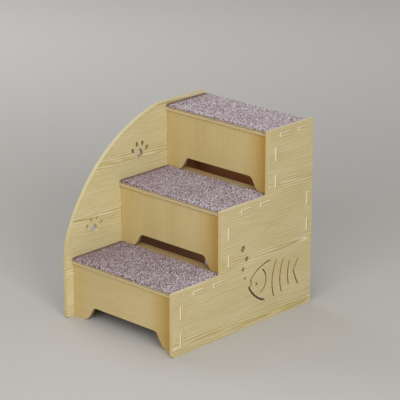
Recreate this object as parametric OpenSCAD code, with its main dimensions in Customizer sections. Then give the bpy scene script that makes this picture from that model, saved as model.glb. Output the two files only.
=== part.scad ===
// Three-step pet stairs, slotted together from flat boards. Millimetres, +Z up.
// X runs across the stairs, +Y runs up the stairs, and the origin is the centre of the footprint.
// Modules work with Y measured from the front edge of the side panels, and placed() shifts them.

/* [Stairs] */
// Width between the outer faces of the two side panels
stair_w = 300; // [240:1:420]
// Height of one step
step_rise = 129.5; // [122:0.5:160]
// Depth of the lower and the middle step
step_run = 133.5; // [125:0.5:180]
// Depth of the top step
top_run = 133; // [110:0.5:200]

/* [Boards] */
// Thickness of the two side panels
panel_t = 8; // [6:0.5:12]
// Thickness of the risers, the treads and the back rail
board_t = 8; // [6:0.5:10]
// Gap between a board's shoulder and a side panel
shoulder_gap = 0.3; // [0.1:0.1:1]
// Radius of the side panels' rounded corners
corner_r = 5; // [2:0.5:10]

/* [Treads and risers] */
// How far a tread's top lies below the step's edge
tread_drop = 9; // [7:0.5:14]
// How far a riser's face lies behind the step's front edge
riser_set = 20; // [12:0.5:30]
// How far a tread's nose stands out past the riser under it
nose_out = 5; // [1:0.5:10]
// How far a tread runs back past the face of the next riser
tread_tail = 26.5; // [16:0.5:40]

/* [Tabs and slots] */
// Length of a tab
tab_l = 27; // [16:0.5:32]
// Distance between the centres of a board's two tabs
tab_pitch = 55; // [42:0.5:58]
// How far a tab's end stands out of the side panel
tab_out = 2; // [0:0.5:4]
// Clearance between a tab and its slot on each side
slot_gap = 0.2; // [0.1:0.05:0.4]
// Height of a riser's lower tab centre above the riser's bottom edge
riser_tab_z = 31.5; // [26:0.5:36]
// How much higher the tabs sit on the middle and the upper riser
upper_tab_lift = 2.5; // [0:0.5:5]
// How far a tread's pair of tabs sits ahead of the tread's middle
tread_tab_set = 0.5; // [0:0.5:6]

/* [Riser openings] */
// Width of the opening along the riser's bottom edge
arch_w = 236; // [180:1:236]
// Height of the opening
arch_h = 31.5; // [24:0.5:40]
// How much lower the opening is on the middle and the upper riser
upper_arch_drop = 1.75; // [0:0.25:4]
// Slope of the opening's sides, in degrees from level
arch_slope = 60; // [45:1:75]
// Radius of the opening's upper corners
arch_shoulder_r = 12; // [4:0.5:16]
// Radius of the flare where the opening meets the bottom edge
arch_flare_r = 24; // [4:0.5:28]

/* [Back rail] */
// Height of the back rail's board
rail_h = 112; // [100:1:140]
// Height of the back rail's bottom edge
rail_z = 143; // [90:1:200]
// Distance from the back rail to the back edge of the side panels
rail_inset = 10; // [6:0.5:30]

/* [Guard panel] */
// How far the left panel's top stands above the top step's edge
guard_over = 1.5; // [0:0.5:60]
// Radius of the guard's lower curve
guard_low_r = 165; // [120:1:200]
// Turn of the guard's lower curve, in degrees
guard_low_turn = 22; // [16:1:26]
// Radius of the guard's middle curve
guard_mid_r = 350; // [300:1:370]
// Turn of the guard's middle curve, in degrees
guard_mid_turn = 55; // [48:1:58]
// Radius of the guard's upper curve
guard_top_r = 90; // [40:1:140]

/* [Carpets] */
// Thickness of a carpet, pile included
carpet_t = 5; // [3:0.5:8]
// Gap between a carpet and a side panel
carpet_side_gap = 1.5; // [0.5:0.5:5]
// Gap between a carpet and the riser behind it
carpet_back_gap = 1; // [0.5:0.5:5]
// How far a carpet's front edge lies behind the tread's nose
carpet_front_set = 0.5; // [0:0.5:5]
// Radius of a carpet's front corners
carpet_r = 4; // [1:0.5:10]

/* [Fishbone cut-out] */
// Distance of the fish's mouth from the front edge
fish_y = 214; // [200:1:230]
// Height of the fish's centre line
fish_z = 82; // [60:1:86]
// Length of the fish from mouth to tail
fish_l = 146; // [120:1:146]
// Height of the fish's head
fish_h = 80; // [60:1:84]
// Width of the slits
slit_w = 3; // [2:0.25:4]
// Width of the slit that draws the chin
chin_w = 4.2; // [2:0.1:5]
// Bow of the two slits that draw the head
head_bow = 6; // [2:0.5:8]
// Bow of the slit that draws the gill
gill_bow = 12.5; // [6:0.5:14]
// Bow of the slit that draws the mouth
mouth_bow = 4.5; // [2:0.5:6]
// Bow of the tallest rib
rib_bow = 8.5; // [3:0.5:9]
// Distance between the ribs
rib_pitch = 23.2; // [18:0.1:24]
// Bow of the tail's two slits
tail_bow = 0.6; // [0.2:0.1:2]
// Diameter of the eye
eye_d = 6; // [4:0.5:8]

/* [Bubble holes] */
// Diameter of the top bubble
bubble_d = 13; // [8:0.5:14]
// Height of the column of bubbles above the mouth
bubble_rise = 78; // [70:1:84]
// Sideways reach of the column of bubbles ahead of the mouth
bubble_reach = 18; // [12:0.5:22]

/* [Paw cut-outs] */
// Distance of the upper paw from the front edge
paw_high_y = 207.5; // [200:0.5:240]
// Height of the upper paw
paw_high_z = 295; // [285:0.5:310]
// Distance of the lower paw from the front edge
paw_low_y = 79; // [60:0.5:100]
// Height of the lower paw
paw_low_z = 167; // [150:0.5:180]
// Radius of the pad's upper lobe
pad_top_r = 6; // [4:0.5:8]
// Radius of the pad's lower lobes
pad_low_r = 5; // [3:0.5:7]
// Distance from the paw's middle to the centre of a lower lobe
pad_spread = 4; // [2:0.5:6]
// Height of the upper lobe's centre above the lower lobes
pad_rise = 5; // [3:0.5:8]
// Width of a toe
toe_w = 7; // [5:0.5:8]
// Length of a toe
toe_l = 10; // [7:0.5:12]
// Distance of the outer toes from the paw's middle
toe_spread = 19.5; // [16:0.5:22]
// Height of the inner toes above the lower lobes
toe_rise = 21; // [19:0.5:26]

/* [Hidden] */

pine = [0.80, 0.72, 0.50];
pine_warm = [0.74, 0.60, 0.36];
pile_mauve = [0.58, 0.51, 0.55];

$fn = 32;
// Arc points are this many degrees apart
arc_step = 3;
// How far every cut runs past the face that it leaves
overrun = 1;

// Overall sizes and the lines that the boards share
stair_d = 2 * step_run + top_run;
inner_w = stair_w - 2 * panel_t;
shoulder_w = inner_w - 2 * shoulder_gap;
tab_w = stair_w + 2 * tab_out;
right_x = stair_w / 2 - panel_t;
left_x = -stair_w / 2;

// Steps are counted 0 for the lower, 1 for the middle and 2 for the upper
lower = 0;
middle = 1;
upper = 2;
steps = [lower, middle, upper];

function step_front(i) = i * step_run;
function step_top(i) = (i + 1) * step_rise;
function tread_top(i) = step_top(i) - tread_drop;
function riser_face(i) = step_front(i) + riser_set;
function nose(i) = riser_face(i) - nose_out;
function tread_back(i) = i == upper ? stair_d : riser_face(i + 1) + tread_tail;
function riser_foot(i) = i == lower ? 0 : tread_top(i - 1);
function riser_head(i) = tread_top(i) - board_t;
function first_tab(i) = (nose(i) + tread_back(i) - tab_pitch) / 2 - tread_tab_set;
function carpet_back(i) = i == upper ? stair_d - carpet_front_set : riser_face(i + 1) - carpet_back_gap;
function riser_tab(i) = riser_tab_z + (i == lower ? 0 : upper_tab_lift);
function opening_h(i) = arch_h - (i == lower ? 0 : upper_arch_drop);
rail_y = stair_d - rail_inset - board_t;
guard_h = step_top(upper) + guard_over;

// Points along an arc about c, from angle a to angle b
function arc(c, r, a, b) =
    let (n = max(2, ceil(abs(b - a) / arc_step)))
    [for (i = [0 : n]) c + r * [cos(a + (b - a) * i / n), sin(a + (b - a) * i / n)]];

// Centre and radius of the arc from p to q that bows to the left by bow
function bow_radius(p, q, bow) = (norm(q - p) ^ 2 / 4 + bow ^ 2) / (2 * bow);
function left_of(p, q) = [p.y - q.y, q.x - p.x] / norm(q - p);
function bow_centre(p, q, bow) = (p + q) / 2 + left_of(p, q) * (bow - bow_radius(p, q, bow));

// A flat outline drawn in Y and Z becomes an upright panel whose low X face is at x
module panel(x) {
    translate([x, 0, 0])
        rotate([90, 0, 90])
            linear_extrude(panel_t)
                children();
}

// A flat outline drawn in X and Z becomes a board across the stairs whose front face is at y
module cross_board(y) {
    translate([0, y + board_t, 0])
        rotate([90, 0, 0])
            linear_extrude(board_t)
                children();
}

// Moves what is measured from the front edge so that the footprint's centre is the origin
module placed() {
    translate([0, -stair_d / 2, 0])
        children();
}

// A slit of width w from p to q, round at both ends, that bows to the left of the line p to q
module slit(p, q, bow, w) {
    c = bow_centre(p, q, bow);
    r = bow_radius(p, q, bow);
    from = atan2(p.y - c.y, p.x - c.x);
    turn = 2 * asin(min(1, norm(q - p) / (2 * r)));
    polygon(concat(arc(c, r + w / 2, from, from - turn), arc(c, r - w / 2, from - turn, from)));
    for (end = [p, q])
        translate(end)
            circle(d = w);
}

// The slots of one board that stands upright: two, one above the other
module upright_slots(face_y, first_z) {
    for (z = [first_z, first_z + tab_pitch])
        translate([face_y - slot_gap, z - tab_l / 2 - slot_gap])
            square([board_t + 2 * slot_gap, tab_l + 2 * slot_gap]);
}

// The slots of one board that lies flat: two, one behind the other
module flat_slots(first_y, under_z) {
    for (y = [first_y, first_y + tab_pitch])
        translate([y - tab_l / 2 - slot_gap, under_z - slot_gap])
            square([tab_l + 2 * slot_gap, board_t + 2 * slot_gap]);
}

// Every slot of a side panel
module all_slots() {
    for (i = steps) {
        upright_slots(riser_face(i), riser_foot(i) + riser_tab(i));
        flat_slots(first_tab(i), riser_head(i));
    }
    upright_slots(rail_y, rail_z + (rail_h - tab_pitch) / 2);
}

// Outline of the right panel: three square steps
module stepped_outline() {
    treads_and_risers = [for (i = [upper : -1 : lower]) each
        [[step_front(i) + (i == upper ? top_run : step_run), step_top(i)], [step_front(i), step_top(i)]]];
    polygon(concat(
        arc([corner_r, corner_r], corner_r, 180, 270),
        [[stair_d, 0]],
        treads_and_risers));
}

// Outline of the left panel: a straight front that bends back in three arcs to a level top
module guard_outline() {
    low_end = 180 - guard_low_turn;
    mid_end = low_end - guard_mid_turn;
    level = 90;
    top_c = [guard_low_r * (1 + cos(low_end)) + guard_mid_r * (cos(mid_end) - cos(low_end))
             - guard_top_r * cos(mid_end),
             guard_h - guard_top_r];
    mid_c = top_c - (guard_mid_r - guard_top_r) * [cos(mid_end), sin(mid_end)];
    low_c = mid_c + (guard_mid_r - guard_low_r) * [cos(low_end), sin(low_end)];
    polygon(concat(
        arc([corner_r, corner_r], corner_r, 270, 180),
        arc(low_c, guard_low_r, 180, low_end),
        arc(mid_c, guard_mid_r, low_end, mid_end),
        arc(top_c, guard_top_r, mid_end, level),
        arc([stair_d - corner_r, guard_h - corner_r], corner_r, level, 0),
        [[stair_d, 0]]));
}

// The fishbone: head, mouth, gill, eye, three ribs and a forked tail, all as slits
module fishbone() {
    // Places along the fish as shares of its length, heights as shares of half the head's height
    brow_share = [0.03, 0.38];
    nape_share = [0.42, 1.04];
    lip_share = [0, 0.03];
    throat_share = [0.315, -0.93];
    gill_share = [[0.275, 0.7], [0.24, -0.48]];
    eye_share = [0.15, 0.06];
    rib_start_share = 0.47;
    rib_shares = [0.93, 0.835, 0.62];
    rib_lean_shares = [0.09, 0.075, 0.045];
    tail_share = 0.905;
    tail_tip_shares = [0.55, -0.78];
    function spot(share) = [fish_y + fish_l * share.x, fish_z + fish_h / 2 * share.y];

    slit(spot(brow_share), spot(nape_share), head_bow, slit_w);
    slit(spot(throat_share), spot(lip_share), head_bow, chin_w);
    slit(spot(brow_share), spot(lip_share), mouth_bow, slit_w);
    slit(spot(gill_share[0]), spot(gill_share[1]), gill_bow, slit_w);
    translate(spot(eye_share))
        circle(d = eye_d);
    for (i = [0 : len(rib_shares) - 1]) {
        half = rib_shares[i] * fish_h / 2;
        lean = rib_lean_shares[i] * half;
        bow = rib_bow * (rib_shares[i] / rib_shares[0]) ^ 2;
        foot = [fish_y + fish_l * rib_start_share + rib_pitch * i + bow, fish_z];
        slit(foot + [-lean, -half], foot + [lean, half], bow, slit_w);
    }
    for (tip = tail_tip_shares)
        slit(spot(tip > 0 ? [tail_share, 0] : [1, tip]), spot(tip > 0 ? [1, tip] : [tail_share, 0]),
             tail_bow, slit_w);
}

// The bubbles that rise from the fish's mouth, largest on top
module bubbles() {
    // Height, reach and diameter of each bubble as shares of the column's
    bubble_shares = [[0.2, 0.65, 0.5], [0.45, 0.93, 0.66], [0.7, 0.36, 0.8], [1, 0.98, 1]];
    mouth_share = 0.2;
    for (b = bubble_shares)
        translate([fish_y - bubble_reach * b.y, fish_z + mouth_share * fish_h / 2 + bubble_rise * b.x])
            circle(d = bubble_d * b.z);
}

// A paw print: a three-lobed pad and four toes
module paw() {
    outer_lean = 25;
    inner_lean = 8;
    inner_share = 0.4;
    outer_share = 0.46;
    pad_lobes = [[-pad_spread, 0], [pad_spread, 0]];
    for (lobe = pad_lobes)
        translate(lobe)
            circle(r = pad_low_r);
    translate([0, pad_rise])
        circle(r = pad_top_r);
    polygon([[-pad_spread, -pad_low_r], [pad_spread, -pad_low_r],
             [pad_spread + pad_low_r, 0], [pad_top_r, pad_rise],
             [-pad_top_r, pad_rise], [-pad_spread - pad_low_r, 0]]);
    for (side = [-1, 1]) {
        translate([side * toe_spread, toe_rise * outer_share])
            rotate(-side * outer_lean)
                toe();
        translate([side * toe_spread * inner_share, toe_rise])
            rotate(-side * inner_lean)
                toe();
    }
}

// One oval toe
module toe() {
    polygon([for (a = [0 : 4 * arc_step : 359]) [toe_w / 2 * cos(a), toe_l / 2 * sin(a)]]);
}

// One half of the outline of a riser's opening of height h, from its lower end to its top
function arch_half(h) =
    let (flare_c = [arch_w / 2, arch_flare_r],
         shoulder_z = h - arch_shoulder_r,
         flare_end = flare_c + arch_flare_r * [-sin(arch_slope), -cos(arch_slope)],
         shoulder_dz = shoulder_z + arch_shoulder_r * cos(arch_slope) - flare_end.y,
         shoulder_x = flare_end.x - shoulder_dz / tan(arch_slope) - arch_shoulder_r * sin(arch_slope))
    concat(arc(flare_c, arch_flare_r, 270, 270 - arch_slope),
           arc([shoulder_x, shoulder_z], arch_shoulder_r, 90 - arch_slope, 90));

// The opening along a riser's bottom edge, drawn in X and Z
module arch_opening(h) {
    right = arch_half(h);
    left = [for (i = [len(right) - 1 : -1 : 0]) [-right[i].x, right[i].y]];
    polygon(concat([[arch_w / 2, -overrun]], right, left, [[-arch_w / 2, -overrun]]));
}

// A board across the stairs: its body and the two tabs at each end, from z = 0
module tabbed_face(h, first_z) {
    translate([-shoulder_w / 2, 0])
        square([shoulder_w, h]);
    for (z = [first_z, first_z + tab_pitch])
        translate([-tab_w / 2, z - tab_l / 2])
            square([tab_w, tab_l]);
}

module side_panel_left() {
    color(pine)
        placed()
            panel(left_x)
                difference() {
                    guard_outline();
                    all_slots();
                    translate([paw_high_y, paw_high_z])
                        paw();
                    translate([paw_low_y, paw_low_z])
                        paw();
                }
}

module side_panel_right() {
    color(pine)
        placed()
            panel(right_x)
                difference() {
                    stepped_outline();
                    all_slots();
                    fishbone();
                    bubbles();
                }
}

// A riser stands on the tread below it and carries the tread above it
module riser(i) {
    color(pine_warm)
        placed()
            cross_board(riser_face(i))
                translate([0, riser_foot(i)])
                    difference() {
                        tabbed_face(riser_head(i) - riser_foot(i), riser_tab(i));
                        arch_opening(opening_h(i));
                    }
}

// A tread lies on its riser and reaches back under the next one
module tread(i) {
    color(pine_warm)
        placed()
            translate([0, nose(i), riser_head(i)])
                linear_extrude(board_t)
                    tabbed_face(tread_back(i) - nose(i), first_tab(i) - nose(i));
}

module back_rail() {
    color(pine_warm)
        placed()
            cross_board(rail_y)
                translate([0, rail_z])
                    tabbed_face(rail_h, (rail_h - tab_pitch) / 2);
}

// A carpet lies on its tread, with its two front corners rounded
module carpet(i) {
    w = inner_w - 2 * carpet_side_gap;
    front = nose(i) + carpet_front_set;
    color(pile_mauve)
        placed()
            translate([0, 0, tread_top(i)])
                linear_extrude(carpet_t)
                    polygon(concat(
                        arc([-w / 2 + carpet_r, front + carpet_r], carpet_r, 180, 270),
                        arc([w / 2 - carpet_r, front + carpet_r], carpet_r, 270, 360),
                        [[w / 2, carpet_back(i)], [-w / 2, carpet_back(i)]]));
}

side_panel_left();
side_panel_right();
riser(lower);  // riser_lower
riser(middle);  // riser_middle
riser(upper);  // riser_upper
tread(lower);  // tread_lower
tread(middle);  // tread_middle
tread(upper);  // tread_upper
back_rail();
carpet(lower);  // carpet_lower
carpet(middle);  // carpet_middle
carpet(upper);  // carpet_upper
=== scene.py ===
"""Three-step pet stairs: printed pine boards, cut-pile carpets, a plain studio and the camera.

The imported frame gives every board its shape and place. This script eases and dresses the boards,
lays a tufted carpet on each tread in place of its plain slab, and sets up floor, lamps and camera.
Lengths are in metres, +Z is up, +Y runs up the stairs and the origin is the centre of the footprint.
"""

import logging
import math
from collections.abc import Callable
from dataclasses import dataclass
from enum import Enum

import bpy
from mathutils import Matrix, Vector


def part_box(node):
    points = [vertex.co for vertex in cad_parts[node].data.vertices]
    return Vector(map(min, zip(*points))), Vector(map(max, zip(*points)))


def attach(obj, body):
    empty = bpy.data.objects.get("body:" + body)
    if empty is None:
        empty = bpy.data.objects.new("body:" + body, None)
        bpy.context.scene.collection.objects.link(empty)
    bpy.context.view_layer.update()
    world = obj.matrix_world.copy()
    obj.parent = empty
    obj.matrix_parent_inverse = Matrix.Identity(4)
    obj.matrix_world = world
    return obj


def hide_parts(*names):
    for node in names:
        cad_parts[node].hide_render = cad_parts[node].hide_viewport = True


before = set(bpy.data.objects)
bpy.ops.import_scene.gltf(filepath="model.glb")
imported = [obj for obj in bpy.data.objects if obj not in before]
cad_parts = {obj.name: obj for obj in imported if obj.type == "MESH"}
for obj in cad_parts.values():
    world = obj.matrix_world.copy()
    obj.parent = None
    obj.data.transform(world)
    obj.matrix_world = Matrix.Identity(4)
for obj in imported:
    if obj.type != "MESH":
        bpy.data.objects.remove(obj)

LOG = logging.getLogger("pet_stairs")
BODY = "root"
MM = 0.001

Colour = tuple[float, float, float]
Triple = tuple[float, float, float]
Box = tuple[Triple, Triple]
Socket = bpy.types.NodeSocket


class Axis(Enum):
    """One of the three directions of the frame, by its place in a vector."""

    X = 0
    Y = 1
    Z = 2


class Slot(Enum):
    """The names of the material slots that the boards are listed under."""

    SIDE_PANELS = "side_panels"
    BOARDS = "boards"
    CARPET = "carpet"


@dataclass(frozen=True)
class Noise:
    """A noise whose grains are stretched differently along each direction.

    The stretch is in grains per metre, detail is how many finer layers are added and rough how strong
    those are. The step sets the noise apart from the others on the same board.
    """

    stretch: Triple
    detail: float = 2.0
    rough: float = 0.5
    step: float = 0.0


@dataclass(frozen=True)
class Ramp:
    """Maps the range from low to high onto another and clamps it there, eased at both ends if smooth."""

    low: float
    high: float
    to_low: float | Socket = 0.0
    to_high: float = 1.0
    smooth: bool = False


class Bench:
    """Selection, edit mode and modifiers, used the way they are by hand."""

    @staticmethod
    def deselect_all() -> None:
        """Leaves object mode with nothing selected."""
        if bpy.context.object and bpy.context.object.mode != "OBJECT":
            bpy.ops.object.mode_set(mode="OBJECT")
        bpy.ops.object.select_all(action="DESELECT")

    @staticmethod
    def take(obj: bpy.types.Object) -> None:
        """Makes obj the one selected and active object."""
        Bench.deselect_all()
        obj.select_set(True)
        bpy.context.view_layer.objects.active = obj

    @staticmethod
    def apply(obj: bpy.types.Object, name: str) -> None:
        """Applies one of obj's modifiers to its mesh."""
        Bench.take(obj)
        bpy.ops.object.modifier_apply(modifier=name)

    @staticmethod
    def named(name: str) -> bpy.types.Object:
        """Names the primitive that was just added and bakes its place and size into its mesh.

        Args:
            name: The piece's name.

        Returns:
            The piece.
        """
        made = bpy.context.object
        made.name = name
        Bench.take(made)
        bpy.ops.object.transform_apply(location=True, rotation=True, scale=True)
        return made

    @staticmethod
    def pick(obj: bpy.types.Object, kind: str, wanted: Callable[..., bool]) -> None:
        """Selects some points, edges or faces of obj and stays in edit mode.

        Args:
            obj: The piece.
            kind: VERT, EDGE or FACE.
            wanted: Says yes or no to a point's place, to an edge's two ends, or to a face's centre
                and normal.
        """
        Bench.take(obj)
        bpy.ops.object.mode_set(mode="EDIT")
        bpy.ops.mesh.select_mode(type=kind)
        bpy.ops.mesh.select_all(action="DESELECT")
        bpy.ops.object.mode_set(mode="OBJECT")
        mesh = obj.data
        if kind == "VERT":
            for point in mesh.vertices:
                point.select = wanted(point.co)
        elif kind == "EDGE":
            for edge in mesh.edges:
                edge.select = wanted(*(mesh.vertices[i].co for i in edge.vertices))
        else:
            for face in mesh.polygons:
                face.select = wanted(face.center, face.normal)
        bpy.ops.object.mode_set(mode="EDIT")


class Recipe:
    """A node material while it is being put together."""

    def __init__(self, name: str) -> None:
        """Starts an empty material.

        Args:
            name: The material's name.
        """
        self.material = bpy.data.materials.new(name)
        self.material.use_nodes = True
        self.tree = self.material.node_tree
        self.tree.nodes.clear()

    def node(self, kind: str, inputs: dict[object, object] | None = None,
             **settings: object) -> bpy.types.Node:
        """Adds a node, sets it up and feeds its inputs.

        Args:
            kind: The node's type name.
            inputs: What each input gets, a socket to link or a plain value.
            **settings: The node's own settings.

        Returns:
            The new node.
        """
        made = self.tree.nodes.new(kind)
        for key, value in settings.items():
            setattr(made, key, value)
        for key, value in (inputs or {}).items():
            self.feed(made.inputs[key], value)
        return made

    def feed(self, socket: Socket, value: object) -> None:
        """Links a socket to an input, or sets the input's own value."""
        if isinstance(value, bpy.types.NodeSocket):
            self.tree.links.new(value, socket)
        else:
            socket.default_value = value

    def math(self, operation: str, *terms: object) -> Socket:
        """Adds one step of arithmetic.

        Args:
            operation: The Math node's operation.
            *terms: Its operands, sockets or numbers.

        Returns:
            The socket that holds the result.
        """
        made = self.tree.nodes.new("ShaderNodeMath")
        made.operation = operation
        for place, term in enumerate(terms):
            self.feed(made.inputs[place], term)
        return made.outputs[0]

    def spread(self, value: Socket, reach: float) -> Socket:
        """Turns a noise of about 0.5 into a shift of plus or minus half of reach."""
        return self.math("MULTIPLY", self.math("SUBTRACT", value, 0.5), reach)

    def split(self, vector: Socket) -> tuple[Socket, Socket, Socket]:
        """The three parts of a vector."""
        return tuple(self.node("ShaderNodeSeparateXYZ", {"Vector": vector}).outputs)

    def join(self, *parts: Socket) -> Socket:
        """A vector of three parts."""
        return self.node("ShaderNodeCombineXYZ", dict(enumerate(parts))).outputs[0]

    def noise(self, vector: Socket, noise: Noise, start: Triple = (0.0, 0.0, 0.0)) -> Socket:
        """Adds a noise.

        Args:
            vector: The coordinates that it reads.
            noise: Its stretch and layers.
            start: Where in the noise this one starts.

        Returns:
            The noise, about 0.5 on average.
        """
        mapped = self.node("ShaderNodeMapping", {"Vector": vector, "Scale": noise.stretch, "Location": start})
        made = self.node("ShaderNodeTexNoise", {
            "Vector": mapped.outputs[0], "Scale": 1.0, "Detail": noise.detail, "Roughness": noise.rough})
        return made.outputs[0]

    def ramp(self, value: Socket, ramp: Ramp) -> Socket:
        """Runs a value through a ramp.

        Args:
            value: The value.
            ramp: What it is mapped from and onto.

        Returns:
            The mapped value.
        """
        made = self.node("ShaderNodeMapRange", interpolation_type="SMOOTHSTEP" if ramp.smooth else "LINEAR")
        for place, term in enumerate((value, ramp.low, ramp.high, ramp.to_low, ramp.to_high)):
            self.feed(made.inputs[place], term)
        return made.outputs[0]

    def blend(self, share: object, first: object, second: object, mode: str = "MIX") -> Socket:
        """Mixes two colours.

        Args:
            share: How much of the second colour shows.
            first: The colour below.
            second: The colour above.
            mode: How they are combined.

        Returns:
            The mixed colour.
        """
        made = self.node("ShaderNodeMix", data_type="RGBA", blend_type=mode)
        made.clamp_factor = True
        self.feed(made.inputs[0], share)
        for place, value in ((6, first), (7, second)):
            self.feed(made.inputs[place], value if isinstance(value, bpy.types.NodeSocket) else (*value, 1.0))
        return made.outputs[2]

    def within(self, parts: tuple[Socket, ...], low: Triple, high: Triple) -> Socket:
        """Marks the inside of a box.

        Args:
            parts: The point's three coordinates.
            low: The box's lowest corner.
            high: Its highest corner.

        Returns:
            1 inside the box and 0 outside it.
        """
        inside = None
        for part, least, most in zip(parts, low, high):
            off = self.math("ABSOLUTE", self.math("SUBTRACT", part, (least + most) / 2))
            one = self.math("LESS_THAN", off, (most - least) / 2)
            inside = one if inside is None else self.math("MULTIPLY", inside, one)
        return inside

    def finish(self, colour: Socket, rough: Socket, height: Socket, depth: float,
               **shader: object) -> bpy.types.Material:
        """Adds the shader and the output.

        Args:
            colour: The base colour.
            rough: The roughness.
            height: The relief, from 0 to 1.
            depth: The relief's real depth.
            **shader: Even values set on the shader's own sockets, with _ for a space in their names.

        Returns:
            The finished material.
        """
        bump = self.node("ShaderNodeBump", {"Strength": 1.0, "Distance": depth, "Height": height})
        surface = self.node("ShaderNodeBsdfPrincipled", {
            "Base Color": colour, "Roughness": rough, "Normal": bump.outputs[0]})
        for key, value in shader.items():
            surface.inputs[key.replace("_", " ")].default_value = value
        output = self.node("ShaderNodeOutputMaterial")
        self.tree.links.new(surface.outputs[0], output.inputs[0])
        return self.material


class BoardRecipe(Recipe):
    """A board's material, which knows where on the board a point lies and which way it faces."""

    def __init__(self, name: str, face: Axis, along: Axis) -> None:
        """Starts the material and reads the coordinates.

        Args:
            name: The material's name.
            face: The way that the broad faces look.
            along: The way that the grain runs.
        """
        super().__init__(name)
        place = self.node("ShaderNodeTexCoord")
        self.point = self.split(place.outputs["Object"])
        self.facing = self.split(place.outputs["Normal"])
        across = ({Axis.X, Axis.Y, Axis.Z} - {face, along}).pop()
        self.along, self.across, through = (self.point[axis.value] for axis in (along, across, face))
        self.board = self.join(self.along, self.across, through)


@dataclass(frozen=True)
class PineTones:
    """The colours of one kind of printed pine board."""

    pale: Colour
    golden: Colour
    cream: Colour
    front_edge: Colour
    top_edge: Colour
    # The next tone is painted shade for a board's ends near the side panels, tinted by light bounced off
    # them.
    end_shade: Colour = (0.455, 0.278, 0.060)
    heart: Colour = (0.500, 0.425, 0.150)
    # The next two tones make the plain brown back of a board, which also stands in as painted shade under the
    # steps.
    back: Colour = (0.450, 0.180, 0.075)
    back_fleck: Colour = (0.250, 0.155, 0.055)
    bare: Colour = (0.730, 0.630, 0.470)
    # The next tone is painted shade for the line beside a tab's bare rim.
    rim_shade: Colour = (0.300, 0.250, 0.180)
    # The next tone is painted shade on the walls of the risers' arches.
    arch: Colour = (0.290, 0.190, 0.080)


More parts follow.
